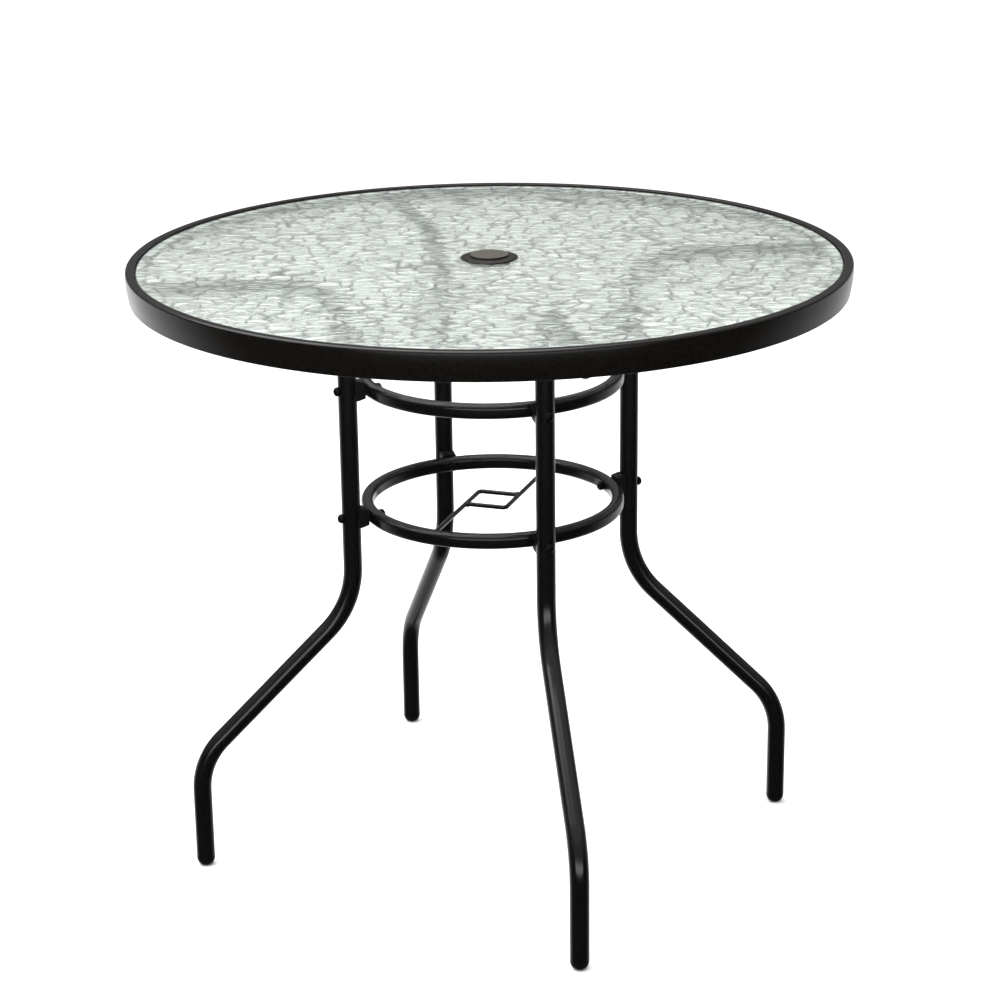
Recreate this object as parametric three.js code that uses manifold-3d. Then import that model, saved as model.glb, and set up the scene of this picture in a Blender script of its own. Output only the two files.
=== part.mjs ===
import * as THREE from 'three';
import { mergeVertices } from 'three/addons/utils/BufferGeometryUtils.js';
import Module from 'manifold-3d';

const wasm = await Module();
wasm.setup();

// Umbrella table: round glass top in a steel rim, four bent legs, two rings, a pole guide.
// Millimetres, +Z up, origin on the floor under the middle of the top. The front is -Y.

// Table
const tableDiameter = 812.8;
const tableHeight = 711.2;
const clearance = 0.3;
const overrun = 2;
const mergeTolerance = 1e-4;

// Rim band
const skirtHeight = 32;
const skirtDrawIn = 3;
const rimSheet = 1.8;
const lipWidth = 10.4;
const lipRounding = 3;
const lipInnerRounding = 1;
const ledgeWidth = 14;
const ledgeThickness = 2.5;

// Glass and gasket
const glassThickness = 5;
const glassDrop = 2.7;
const glassChamfer = 0.8;
const gasketWall = 1.2;
const gasketSeatWidth = 10;

// Umbrella grommet and cap
const poleBore = 40;
const sleeveWall = 4.2;
const sleeveDrop = 6;
const flangeDiameter = 64.6;
const flangeThickness = 3;
const flangeEdge = 1.4;
const capRecess = 1.1;
const capDiameter = 43.6;
const capThickness = 2.6;
const capRounding = 0.9;
const capSkirtDepth = 11;
const capSkirtWall = 1.8;

// Legs
const legCount = 4;
const legTube = 21;
const legWall = 1.6;
const legCircle = 171;
const legAzimuth = 20;
const flareTurns = { front: -10.5, right: -15, back: -3, left: -13.5 };
const armBoltInset = 5.8;
const topBend = 68;
const kneeHeight = 318;
const kneeBend = 110;
const ankleHeight = 132;
const ankleBend = 88;
const footReach = 184;

// Plugs in the leg ends
const footDome = 10.5;
const footSole = 8;
const footStem = 16;
const armPlugFlange = 1.6;
const armPlugStem = 4.5;

// Rings, spacers and their bolts
const ringCircle = 145;
const ringWidth = 14;
const ringDepth = 16.5;
const ringRounding = 4.4;
const lowerRingHeight = 422.5;
const upperRingDrop = 47.9;
const spacerWidth = 17;
const spacerLegHeight = 23.5;
const spacerRingHeight = 17.5;
const boltShank = 6;
const boltHead = 10.6;
const boltDome = 5.4;
const boltRim = 1.2;
const boltTip = 1.6;
const hexSocket = 4;
const hexSocketDepth = 2.6;
const nutFlats = 10;
const nutThickness = 5;
const armBoltDome = 3.6;

// Pole guide wires
const wireRod = 4.5;
const wireSpacing = 48.6;
const wireAzimuth = -19;
const wireBend = 5;
const weldLength = 9;
const weldDiameter = 7;

// Facets
const rimSides = 64;
const ringSides = 48;
const grommetSides = 28;
const tubeSides = 12;
const wireSides = 8;
const boltSides = 10;
const bendSteps = 5;
const roundSteps = 2;

const radians = THREE.MathUtils.degToRad;

// Heights and radii that several pieces share
const rimRadius = tableDiameter / 2;
const skirtBottom = tableHeight - skirtHeight;
const lipInnerRadius = rimRadius - lipWidth;
const glassTopZ = tableHeight - glassDrop;
const glassBottomZ = glassTopZ - glassThickness;
const ledgeTopZ = glassBottomZ - clearance - gasketWall - clearance;
const ledgeBottomZ = ledgeTopZ - ledgeThickness;
const ledgeInnerRadius = lipInnerRadius - ledgeWidth;
const glassRadius = lipInnerRadius - clearance - gasketWall - clearance;
const tubeRadius = legTube / 2;
const tubeBore = tubeRadius - legWall;
const armZ = ledgeBottomZ - clearance - tubeRadius;
const upperRingHeight = armZ - topBend - upperRingDrop;
const footTubeEnd = footDome + clearance;
const boltHole = boltShank / 2 + clearance;
const boreRadius = poleBore / 2;
const sleeveRadius = boreRadius + sleeveWall;
const glassHole = sleeveRadius + clearance;
const ringOuter = ringCircle + ringWidth / 2;
const ringInner = ringCircle - ringWidth / 2;
const flatOf = (radius, sides) => radius * Math.cos(Math.PI / sides);
const nutSeat = flatOf(ringInner, ringSides) - clearance;

// How far along a leg's own flare direction a circle round the table's axis is met
const alongFlare = (spot, radius) => Math.sqrt(radius ** 2 - (legCircle * Math.sin(spot.flare)) ** 2)
  - legCircle * Math.cos(spot.flare);
const armEnd = (spot) => alongFlare(spot, lipInnerRadius + rimSheet + clearance);
const armBoltReach = (spot) => alongFlare(spot, ledgeInnerRadius + armBoltInset);

// Finishes
const finish = (color, roughness, metalness) => ({ color, roughness, metalness });
const powderCoat = finish(0x1c1b1a, 0.45, 0.3);
const lipCoat = finish(0x3a3835, 0.4, 0.3);
const blackPlastic = finish(0x111111, 0.6, 0);
const capPlastic = finish(0x5b5752, 0.35, 0);
const rubber = finish(0x0c0c0c, 0.9, 0);
const boltCoat = finish(0x151515, 0.4, 0.7);
const clearGlass = finish(0xd3e0da, 0.1, 0);

// A closed geometry as a solid, and a solid as a geometry
function toSolid(geometry) {
  const bare = new THREE.BufferGeometry();
  bare.setAttribute('position', geometry.getAttribute('position').clone());
  if (geometry.index) bare.setIndex(geometry.index.clone());
  const merged = mergeVertices(bare, mergeTolerance);
  const source = merged.index.array;
  const kept = [];
  for (let i = 0; i < source.length; i += 3) {
    const [a, b, c] = source.slice(i, i + 3);
    if (a !== b && b !== c && c !== a) kept.push(a, b, c);
  }
  return new wasm.Manifold(new wasm.Mesh({
    numProp: 3,
    vertProperties: new Float32Array(merged.getAttribute('position').array),
    triVerts: new Uint32Array(kept),
  }));
}

function toGeometry(solid) {
  const mesh = solid.getMesh();
  const geometry = new THREE.BufferGeometry();
  geometry.setAttribute('position', new THREE.BufferAttribute(new Float32Array(mesh.vertProperties), 3));
  geometry.setIndex(new THREE.BufferAttribute(new Uint32Array(mesh.triVerts), 1));
  geometry.computeVertexNormals();
  return geometry;
}

function cut(geometry, ...tools) {
  return toGeometry(tools.reduce((solid, tool) => solid.subtract(toSolid(tool)), toSolid(geometry)));
}

function join(geometry, ...others) {
  return toGeometry(others.reduce((solid, other) => solid.add(toSolid(other)), toSolid(geometry)));
}

// Outlines
const corner = (x, y) => new THREE.Vector2(x, y);

function arc(cx, cy, rx, ry, fromDegrees, toDegrees, steps) {
  return Array.from({ length: steps + 1 }, (_, i) => {
    const angle = radians(fromDegrees + (toDegrees - fromDegrees) * i / steps);
    return corner(cx + rx * Math.cos(angle), cy + ry * Math.sin(angle));
  });
}

function polygon(radius, sides) {
  return arc(0, 0, radius, radius, 0, 360, sides).slice(0, sides);
}

// A round part about +Z: radius and height points, counterclockwise where the outline is closed
function turned(points, sides, closed = false) {
  const outline = closed ? [...points, points[0].clone()] : points;
  return new THREE.LatheGeometry(outline, sides).rotateX(Math.PI / 2);
}

// A plain round bar along +Z
function bar(radius, fromZ, toZ, sides = boltSides) {
  return turned([corner(0, fromZ), corner(radius, fromZ), corner(radius, toZ), corner(0, toZ)], sides);
}

// A prism along +Z over an outline, with holes
function prism(points, fromZ, toZ, holes = []) {
  const shape = new THREE.Shape(points);
  shape.holes = holes.map((hole) => new THREE.Path(hole));
  const geometry = new THREE.ExtrudeGeometry(shape, { depth: toZ - fromZ, bevelEnabled: false });
  return geometry.translate(0, 0, fromZ);
}

// A route of straight runs joined by round bends, with stations only where the shape needs them
class BentRoute extends THREE.Curve {
  constructor(corners, bends, steps) {
    super();
    this.places = [corners[0]];
    this.headings = [corners[1].clone().sub(corners[0]).normalize()];
    for (let i = 1; i < corners.length - 1; i += 1) {
      const before = corners[i].clone().sub(corners[i - 1]).normalize();
      const after = corners[i + 1].clone().sub(corners[i]).normalize();
      const turn = before.angleTo(after);
      const run = bends[i - 1] * Math.tan(turn / 2);
      const start = corners[i].clone().addScaledVector(before, -run);
      const side = after.clone().addScaledVector(before, -before.dot(after)).normalize();
      for (let k = 0; k <= steps; k += 1) {
        const angle = turn * k / steps;
        this.places.push(start.clone()
          .addScaledVector(before, bends[i - 1] * Math.sin(angle))
          .addScaledVector(side, bends[i - 1] * (1 - Math.cos(angle))));
        this.headings.push(before.clone().multiplyScalar(Math.cos(angle))
          .addScaledVector(side, Math.sin(angle)));
      }
    }
    this.places.push(corners.at(-1));
    this.headings.push(corners.at(-1).clone().sub(corners.at(-2)).normalize());
  }

  get steps() {
    return this.places.length - 1;
  }

  getPointAt(u, target = new THREE.Vector3()) {
    return target.copy(this.places[Math.round(u * this.steps)]);
  }

  getTangentAt(u, target = new THREE.Vector3()) {
    return target.copy(this.headings[Math.round(u * this.steps)]);
  }
}

function bentTube(route, radius, bore, sides) {
  const shape = new THREE.Shape(polygon(radius, sides));
  if (bore) shape.holes = [new THREE.Path(polygon(bore, sides))];
  return new THREE.ExtrudeGeometry(shape, { extrudePath: route, steps: route.steps, bevelEnabled: false });
}

// Rim: outer skirt, top lip and inner wall of one rolled sheet, open underneath
function rimOutline() {
  const lipUnder = tableHeight - rimSheet;
  const bottomRadius = rimRadius - skirtDrawIn;
  return [
    corner(bottomRadius - rimSheet / 2, skirtBottom),
    corner(bottomRadius, skirtBottom + rimSheet / 2),
    ...arc(rimRadius - lipRounding, tableHeight - lipRounding, lipRounding, lipRounding, 0, 90, roundSteps),
    corner(lipInnerRadius + lipInnerRounding, tableHeight),
    corner(lipInnerRadius, tableHeight - lipInnerRounding),
    corner(lipInnerRadius, ledgeBottomZ),
    corner(lipInnerRadius + rimSheet, ledgeBottomZ),
    corner(lipInnerRadius + rimSheet, lipUnder),
    corner(rimRadius - lipRounding, lipUnder),
    corner(rimRadius - rimSheet, tableHeight - lipRounding),
    corner(bottomRadius - rimSheet, skirtBottom + rimSheet / 2),
  ];
}

function rimBand() {
  return turned(rimOutline(), rimSides, true);
}

// Ledge: a flat ring welded inside the rim, drilled for the arm bolts
function rimLedge() {
  const outer = lipInnerRadius - clearance;
  const holes = legPlaces().map((spot) => bar(boltHole, ledgeBottomZ - overrun, ledgeTopZ + overrun)
    .applyMatrix4(armBoltMatrix(spot)));
  const flat = turned([
    corner(ledgeInnerRadius, ledgeBottomZ),
    corner(outer, ledgeBottomZ),
    corner(outer, ledgeTopZ),
    corner(ledgeInnerRadius, ledgeTopZ),
  ], rimSides, true);
  return cut(flat, ...holes);
}

// Glass: its top has an edge of its own under the flange's edge, where the open surface starts
function glassTop() {
  return turned([
    corner(glassHole, glassBottomZ),
    corner(glassRadius - glassChamfer, glassBottomZ),
    corner(glassRadius, glassBottomZ + glassChamfer),
    corner(glassRadius, glassTopZ - glassChamfer),
    corner(glassRadius - glassChamfer, glassTopZ),
    corner(flangeDiameter / 2 + clearance, glassTopZ),
    corner(glassHole, glassTopZ),
  ], rimSides, true);
}

// Gasket: a seat under the glass and a wall round its edge
function glassGasket() {
  const outer = lipInnerRadius - clearance;
  const seatZ = ledgeTopZ + clearance;
  return turned([
    corner(outer - gasketSeatWidth, seatZ),
    corner(outer, seatZ),
    corner(outer, glassTopZ),
    corner(outer - gasketWall, glassTopZ),
    corner(outer - gasketWall, seatZ + gasketWall),
    corner(outer - gasketSeatWidth, seatZ + gasketWall),
  ], rimSides, true);
}

// Grommet: sleeve through the glass, flange on top with a recess for the cap
const flangeBottomZ = glassTopZ + clearance;
const flangeTopZ = flangeBottomZ + flangeThickness;
const capSeatZ = flangeTopZ - capRecess;
const recessRadius = capDiameter / 2 + clearance;
const flangeCrown = recessRadius + capRecess;

function umbrellaGrommet() {
  const flangeRadius = flangeDiameter / 2;
  const sleeveBottom = glassBottomZ - sleeveDrop;
  return turned([
    corner(boreRadius, sleeveBottom),
    corner(sleeveRadius, sleeveBottom),
    corner(sleeveRadius, flangeBottomZ),
    corner(flangeRadius, flangeBottomZ),
    corner(flangeRadius, flangeBottomZ + flangeEdge),
    corner((flangeRadius + flangeCrown) / 2, flangeTopZ - flangeEdge / 4),
    corner(flangeCrown, flangeTopZ),
    corner(recessRadius, flangeTopZ),
    corner(recessRadius, capSeatZ),
    corner(boreRadius, capSeatZ),
  ], grommetSides, true);
}

// Cap: a disc in the recess, with a skirt that fits the bore and is open below
function umbrellaCap() {
  const bottom = capSeatZ + clearance;
  const discRadius = capDiameter / 2;
  const skirtOuter = boreRadius - clearance;
  const skirtInner = skirtOuter - capSkirtWall;
  const top = bottom + capThickness;
  const skirtEnd = bottom - capSkirtDepth;
  return turned([
    corner(0, bottom),
    corner(skirtInner, bottom),
    corner(skirtInner, skirtEnd),
    corner(skirtOuter, skirtEnd),
    corner(skirtOuter, bottom),
    corner(discRadius, bottom),
    ...arc(discRadius - capRounding, top - capRounding, capRounding, capRounding, 0, 90, roundSteps),
    corner(0, top),
  ], grommetSides);
}

// Leg places round the table, each leg turned a little differently about its own upright
function legPlaces() {
  return Object.entries(flareTurns).map(([name, turn], i) => (
    { name, azimuth: legAzimuth + 360 / legCount * i, flare: radians(turn) }));
}

// A frame whose +X points outward from the table's axis
function turnTo(azimuth) {
  return new THREE.Matrix4().makeRotationZ(radians(azimuth - 90));
}

// The leg's own frame stands on its upright, with +X along the flare
function legMatrix(spot) {
  return turnTo(spot.azimuth)
    .multiply(new THREE.Matrix4().makeTranslation(legCircle, 0, 0))
    .multiply(new THREE.Matrix4().makeRotationZ(spot.flare));
}

function armBoltMatrix(spot) {
  return legMatrix(spot).multiply(new THREE.Matrix4().makeTranslation(armBoltReach(spot), 0, 0));
}

// A frame at a ring joint, with +Z outward along the bolt and X upright
function boltMatrix(spot, height) {
  return turnTo(spot.azimuth)
    .multiply(new THREE.Matrix4().makeTranslation(0, 0, height))
    .multiply(new THREE.Matrix4().makeRotationY(Math.PI / 2));
}

const upright = (x, z) => new THREE.Vector3(x, 0, z);

function legRoute(spot) {
  return new BentRoute([
    upright(armEnd(spot), armZ),
    upright(0, armZ),
    upright(0, kneeHeight),
    upright(footReach, ankleHeight),
    upright(footReach, footTubeEnd),
  ], [topBend, kneeBend, ankleBend], bendSteps);
}

// Leg: one bent tube, drilled for the two ring bolts and the arm bolt
function leg(spot) {
  const tube = bentTube(legRoute(spot), tubeRadius, tubeBore, tubeSides);
  const toFlare = new THREE.Matrix4().makeRotationZ(-spot.flare);
  const ringHoles = [lowerRingHeight, upperRingHeight].map((height) => {
    const reach = tubeRadius + overrun;
    return bar(boltHole, -reach, reach).rotateY(Math.PI / 2).applyMatrix4(toFlare)
      .translate(0, 0, height);
  });
  const armHole = bar(boltHole, armZ - tubeRadius - overrun, armZ + tubeRadius + overrun)
    .translate(armBoltReach(spot), 0, 0);
  return cut(tube, ...ringHoles, armHole);
}

// Foot plug: rounded end with a small flat sole, and a stem up the tube
function footPlug() {
  const stem = tubeBore - clearance;
  const sole = footSole / 2;
  return turned([
    corner(0, 0),
    ...arc(sole, footDome, tubeRadius - sole, footDome, -90, 0, roundSteps + 1),
    corner(stem, footDome),
    corner(stem, footTubeEnd + footStem),
    corner(0, footTubeEnd + footStem),
  ], tubeSides).translate(footReach, 0, 0);
}

// Arm plug: a thin flange over the arm's end and a short stem in it, along +X
function armPlug(spot) {
  const stem = tubeBore - clearance;
  return turned([
    corner(0, -armPlugStem),
    corner(stem, -armPlugStem),
    corner(stem, clearance),
    corner(tubeRadius, clearance),
    corner(tubeRadius, armPlugFlange),
    corner(0, armPlugFlange),
  ], tubeSides).rotateY(Math.PI / 2).translate(armEnd(spot), 0, armZ);
}

// A domed bolt along +Z: head above 0, shank below, hex socket in the head
function domedBolt(dome, shankLength) {
  const headRadius = boltHead / 2;
  const solid = turned([
    corner(0, -shankLength),
    corner(boltShank / 2, -shankLength),
    corner(boltShank / 2, 0),
    corner(headRadius, 0),
    ...arc(0, boltRim, headRadius, dome - boltRim, 0, 90, roundSteps + 1),
  ], boltSides);
  const socketRadius = hexSocket / Math.sqrt(3);
  return cut(solid, prism(polygon(socketRadius, 6), dome - hexSocketDepth, dome + overrun));
}

// Ring: flattened tube section, drilled for its four bolts
function ringOutline(spare = 0) {
  const halfWidth = ringWidth / 2 + spare;
  const halfDepth = ringDepth / 2 + spare;
  const rounding = ringRounding + spare;
  const corners = [[1, -1], [1, 1], [-1, 1], [-1, -1]];
  return corners.flatMap(([x, y], i) => arc(
    ringCircle + x * (halfWidth - rounding),
    y * (halfDepth - rounding),
    rounding,
    rounding,
    90 * (i - 1),
    90 * i,
    roundSteps,
  ));
}

function ring(height) {
  const holes = legPlaces().map((spot) => bar(boltHole, ringInner - overrun, ringOuter + overrun)
    .applyMatrix4(boltMatrix(spot, height)));
  return cut(turned(ringOutline(), ringSides, true).translate(0, 0, height), ...holes);
}

// Spacer: a moulded saddle from the ring's flat side to the leg's round one, taller at the leg
function ringSpacer() {
  const inner = ringOuter - overrun;
  const outer = legCircle;
  const side = [
    corner(-spacerRingHeight / 2, inner),
    corner(spacerRingHeight / 2, inner),
    corner(spacerLegHeight / 2, legCircle - tubeRadius - clearance),
    corner(spacerLegHeight / 2, outer),
    corner(-spacerLegHeight / 2, outer),
    corner(-spacerLegHeight / 2, legCircle - tubeRadius - clearance),
  ];
  const block = prism(side, -spacerWidth / 2, spacerWidth / 2).rotateX(Math.PI / 2);
  const reach = spacerLegHeight / 2 + overrun;
  const clearOf = (radius, at, sides) => bar((radius + clearance) / flatOf(1, sides), -reach, reach, sides)
    .rotateY(Math.PI / 2).translate(0, 0, at);
  return cut(
    block,
    clearOf(tubeRadius, legCircle, tubeSides),
    clearOf(ringOuter, 0, ringSides),
    bar(boltHole, ringOuter - overrun, legCircle),
  );
}

function ringNut() {
  const hole = polygon(boltHole, boltSides);
  return prism(polygon(nutFlats / Math.sqrt(3), 6), nutSeat - nutThickness, nutSeat, [hole]);
}

function ringBolt() {
  const seat = legCircle + tubeRadius + clearance;
  const tip = nutSeat - nutThickness - boltTip;
  return domedBolt(boltDome, seat - tip).translate(0, 0, seat);
}

function armBolt() {
  const seat = armZ - tubeRadius - clearance;
  return domedBolt(armBoltDome, ledgeTopZ - clearance - seat).rotateX(Math.PI).translate(0, 0, seat);
}

// Pole guide: two rods, each bent once and welded to the ring and to the side of the other
function wireRoute() {
  const lane = wireSpacing / 2;
  return new BentRoute([
    new THREE.Vector3(Math.sqrt(ringInner ** 2 - lane ** 2), -lane, 0),
    new THREE.Vector3(-lane, -lane, 0),
    new THREE.Vector3(-lane, lane - wireRod / 2 - clearance, 0),
  ], [wireBend], bendSteps);
}

function weld(at, heading) {
  return new THREE.SphereGeometry(weldDiameter / 2, wireSides, roundSteps * 2)
    .scale(1, 1, weldLength / weldDiameter)
    .applyQuaternion(new THREE.Quaternion().setFromUnitVectors(new THREE.Vector3(0, 0, 1), heading))
    .translate(at.x, at.y, at.z);
}

function wireGuide() {
  const route = wireRoute();
  const start = route.places[0];
  const end = route.places.at(-1);
  const rod = bentTube(route, wireRod / 2, 0, wireSides);
  const otherRod = bentTube(route, wireRod / 2 + clearance, 0, wireSides).rotateZ(Math.PI);
  const welds = [weld(start, new THREE.Vector3(0, 1, 0)), weld(end, new THREE.Vector3(1, 0, 0))];
  const ringSpace = turned(ringOutline(clearance), ringSides, true).applyMatrix4(turnTo(wireAzimuth).invert());
  return cut(join(rod, ...welds), otherRod, ringSpace);
}

// Assembly
const table = new THREE.Group();

function addPiece(name, geometry, look, matrix = new THREE.Matrix4()) {
  const mesh = new THREE.Mesh(geometry, new THREE.MeshStandardMaterial(look));
  mesh.name = name;
  mesh.applyMatrix4(matrix);
  table.add(mesh);
  return mesh;
}

function placeTop() {
  addPiece('rim_band', rimBand(), lipCoat);
  addPiece('rim_ledge', rimLedge(), powderCoat);
  addPiece('glass_gasket', glassGasket(), rubber);
  const glass = addPiece('glass_top', glassTop(), clearGlass);
  glass.material.transparent = true;
  glass.material.opacity = 0.35;
  addPiece('umbrella_grommet', umbrellaGrommet(), capPlastic);
  addPiece('umbrella_cap', umbrellaCap(), capPlastic);
}

function placeLegs() {
  for (const spot of legPlaces()) {
    addPiece(`leg_${spot.name}`, leg(spot), powderCoat, legMatrix(spot));
    addPiece(`foot_plug_${spot.name}`, footPlug(), blackPlastic, legMatrix(spot));
    addPiece(`arm_plug_${spot.name}`, armPlug(spot), blackPlastic, legMatrix(spot));
    addPiece(`arm_bolt_${spot.name}`, armBolt(), boltCoat, armBoltMatrix(spot));
  }
}

function placeRing(level, height) {
  addPiece(`${level}_ring`, ring(height), powderCoat);
  for (const spot of legPlaces()) {
    const matrix = boltMatrix(spot, height);
    addPiece(`${level}_spacer_${spot.name}`, ringSpacer(), blackPlastic, matrix);
    addPiece(`${level}_bolt_${spot.name}`, ringBolt(), boltCoat, matrix);
    addPiece(`${level}_nut_${spot.name}`, ringNut(), boltCoat, matrix);
  }
}

function placePoleGuide() {
  const lift = new THREE.Matrix4().makeTranslation(0, 0, lowerRingHeight);
  for (const [i, name] of ['front', 'back'].entries()) {
    const place = turnTo(wireAzimuth).multiply(new THREE.Matrix4().makeRotationZ(i * Math.PI));
    addPiece(`pole_guide_${name}`, wireGuide(), powderCoat, lift.clone().multiply(place));
  }
}

placeTop();
placeLegs();
placeRing('lower', lowerRingHeight);
placeRing('upper', upperRingHeight);
placePoleGuide();

export default table;
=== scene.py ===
import math

import bpy
from mathutils import Matrix, Vector


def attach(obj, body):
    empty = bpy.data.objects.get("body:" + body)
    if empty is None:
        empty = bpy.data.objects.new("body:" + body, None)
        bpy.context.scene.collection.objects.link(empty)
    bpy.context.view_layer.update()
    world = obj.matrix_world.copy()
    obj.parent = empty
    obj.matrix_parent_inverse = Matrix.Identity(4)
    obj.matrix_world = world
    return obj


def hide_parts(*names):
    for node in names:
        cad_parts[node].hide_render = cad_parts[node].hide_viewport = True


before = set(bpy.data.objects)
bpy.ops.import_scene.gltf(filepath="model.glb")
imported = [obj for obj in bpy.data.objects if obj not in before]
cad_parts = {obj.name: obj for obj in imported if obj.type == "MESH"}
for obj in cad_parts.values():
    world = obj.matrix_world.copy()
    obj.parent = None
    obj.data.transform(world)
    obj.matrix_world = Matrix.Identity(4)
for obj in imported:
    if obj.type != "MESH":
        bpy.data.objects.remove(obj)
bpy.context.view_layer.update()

scene = bpy.context.scene
print("frame loaded:", len(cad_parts), "nodes")

# Sizes are in millimetres and angles in degrees, but the studio and the camera are placed in metres
legAngles = {"Front": 20, "Right": 110, "Back": 200, "Left": 290}  # from the front, towards the right
legTurns = {"Front": -10.5, "Right": -15, "Back": -3, "Left": -13.5}  # of each leg about its own upright
nearness = {"merge": 0.001, "sliver": 0.005}  # points nearer to each other than this become one


# Small helpers
def mm(value):
    return value / 1000


def clearSelection():
    bpy.ops.object.select_all(action="DESELECT")


def pickPiece(piece):
    clearSelection()
    bpy.context.view_layer.objects.active = piece
    piece.select_set(True)


def openEdit(piece, kind="EDGE"):
    # edit mode, with the whole mesh selected
    pickPiece(piece)
    bpy.ops.object.mode_set(mode="EDIT")
    bpy.ops.mesh.select_mode(type=kind)
    bpy.ops.mesh.select_all(action="SELECT")


def closeEdit():
    bpy.ops.object.mode_set(mode="OBJECT")


def pickFaces(piece, wanted):
    closeEdit()
    for vertex in piece.data.vertices:
        vertex.select = False
    for edge in piece.data.edges:
        edge.select = False
    for face in piece.data.polygons:
        face.select = wanted(face)
    bpy.ops.object.mode_set(mode="EDIT")


def settle(piece):
    # the object's own place goes into its mesh
    pickPiece(piece)
    bpy.ops.object.transform_apply(location=True, rotation=True, scale=True)


def startPiece(name):
    # takes over the primitive that was just added
    piece = bpy.context.active_object
    piece.name = name
    settle(piece)
    return piece


def closeShell():
    # doubles are merged and the faces turned outwards
    bpy.ops.mesh.select_all(action="SELECT")
    bpy.ops.mesh.remove_doubles(threshold=mm(nearness["merge"]))
    bpy.ops.mesh.normals_make_consistent(inside=False)
    closeEdit()


def applyModifier(piece, kind, **settings):
    pickPiece(piece)
    modifier = piece.modifiers.new(kind.title(), kind)
    for name, value in settings.items():
        setattr(modifier, name, value)
    bpy.ops.object.modifier_apply(modifier=modifier.name)


def combine(piece, tool, operation="DIFFERENCE"):
    # the tiny edges that a cut can leave are collapsed
    applyModifier(piece, "BOOLEAN", operation=operation, object=tool)
    bpy.data.objects.remove(tool)
    openEdit(piece)
    bpy.ops.mesh.dissolve_degenerate(threshold=mm(nearness["sliver"]))
    closeEdit()


def smooth(piece, softTo=35):
    # edges up to this angle are soft, and flat faces stay flat up to their edges
    pickPiece(piece)
    bpy.ops.object.shade_smooth_by_angle(angle=math.radians(softTo))
    applyModifier(piece, "WEIGHTED_NORMAL", keep_sharp=True)


def softOutline(points, steps=4, closed=True):
    # corners given as (radius, height, rounding), returned as points with their roundings drawn
    drawn = []
    for i, (across, up, rounding) in enumerate(points):
        here = Vector((across, up))
        if not rounding or (not closed and i in (0, len(points) - 1)):
            drawn.append((across, up))
            continue
        before = (Vector(points[i - 1][:2]) - here).normalized()
        after = (Vector(points[(i + 1) % len(points)][:2]) - here).normalized()
        half = before.angle(after) / 2
        sweep = math.pi - 2 * half
        middle = here + (before + after).normalized() * rounding / math.sin(half)
        fromMiddle = here + before * rounding / math.tan(half) - middle
        toMiddle = here + after * rounding / math.tan(half) - middle
        aside = (toMiddle - fromMiddle * math.cos(sweep)) / math.sin(sweep)
        for k in range(steps + 1):
            turn = k / steps * sweep
            spot = middle + fromMiddle * math.cos(turn) + aside * math.sin(turn)
            drawn.append((spot.x, spot.y))
    return drawn


def turnPiece(name, outline, sides, closed=True):
    # a circle is drawn out and resized from point to point, as a lathe would turn the outline
    # an outline that isn't closed gets a flat face at its start and its end
    clearSelection()
    radius, height = outline[0]
    bpy.ops.mesh.primitive_circle_add(vertices=sides, radius=mm(radius), location=(0, 0, mm(height)))
    piece = startPiece(name)
    openEdit(piece)
    if not closed:
        bpy.ops.mesh.edge_face_add()
    for nextRadius, nextHeight in outline[1:] + (outline[:1] if closed else []):
        bpy.ops.mesh.extrude_edges_move(TRANSFORM_OT_translate={"value": (0, 0, mm(nextHeight - height))})
        share = nextRadius / radius
        bpy.ops.transform.resize(value=(share, share, 1), center_override=(0, 0, 0))
        radius, height = nextRadius, nextHeight
    if not closed:
        bpy.ops.mesh.edge_face_add()
    closeShell()
    return piece


def pullTube(name, radius, sides, start, steps, bendSteps=14):
    # a circle is drawn out along straight runs and spun round bends, starting upwards in the X-Z plane
    # a step is ("run", length) or ("bend", radius, angle)
    here, heading = Vector((mm(start[0]), 0, mm(start[1]))), 0.0
    clearSelection()
    bpy.ops.mesh.primitive_circle_add(vertices=sides, radius=mm(radius), location=here)
    piece = startPiece(name)
    openEdit(piece)
    for kind, *values in steps:
        along = Vector((math.sin(heading), 0, math.cos(heading)))
        if kind == "run":
            length = mm(values[0])
            bpy.ops.mesh.extrude_edges_move(TRANSFORM_OT_translate={"value": along * length})
            here = here + along * length
        else:
            bend, turn = mm(values[0]), math.radians(values[1])
            aside = Vector((along.z, 0, -along.x)) * math.copysign(bend, turn)
            bpy.ops.mesh.spin(steps=bendSteps, angle=-turn, center=here + aside, axis=(0, 1, 0))
            here = here + aside + Matrix.Rotation(turn, 3, "Y") @ -aside
            heading += turn
    closeShell()
    return piece


def copyTo(original, name, matrix):
    copy = original.copy()
    copy.data = original.data.copy()
    copy.name = name
    scene.collection.objects.link(copy)
    copy.matrix_world = matrix
    settle(copy)
    return copy


def dress(piece, body, nodes, material):
    piece.data.materials.clear()
    piece.data.materials.append(material)
    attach(piece, body)
    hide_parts(*nodes)


# Places of the legs and of the bolts round the rings
def turned(angle, axis):
    return Matrix.Rotation(math.radians(angle), 4, axis)


def moved(x, y, z):
    return Matrix.Translation((mm(x), mm(y), mm(z)))


def aroundTable(angle):
    return turned(angle - 90, "Z")


def legPlace(side):
    return aroundTable(legAngles[side]) @ moved(leg["circle"], 0, 0) @ turned(legTurns[side], "Z")


def alongArm(side, radius):
    # how far out along a leg's arm a circle round the table is met
    turn = math.radians(legTurns[side])
    aside = leg["circle"] * math.sin(turn)
    return math.sqrt(radius ** 2 - aside ** 2) - leg["circle"] * math.cos(turn)


def boltPlace(angle, height):
    return aroundTable(angle) @ moved(0, 0, height) @ turned(90, "Y")


# Materials
noiseRange = (0.3, 0.7)  # nearly all values of a noise lie between these


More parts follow.
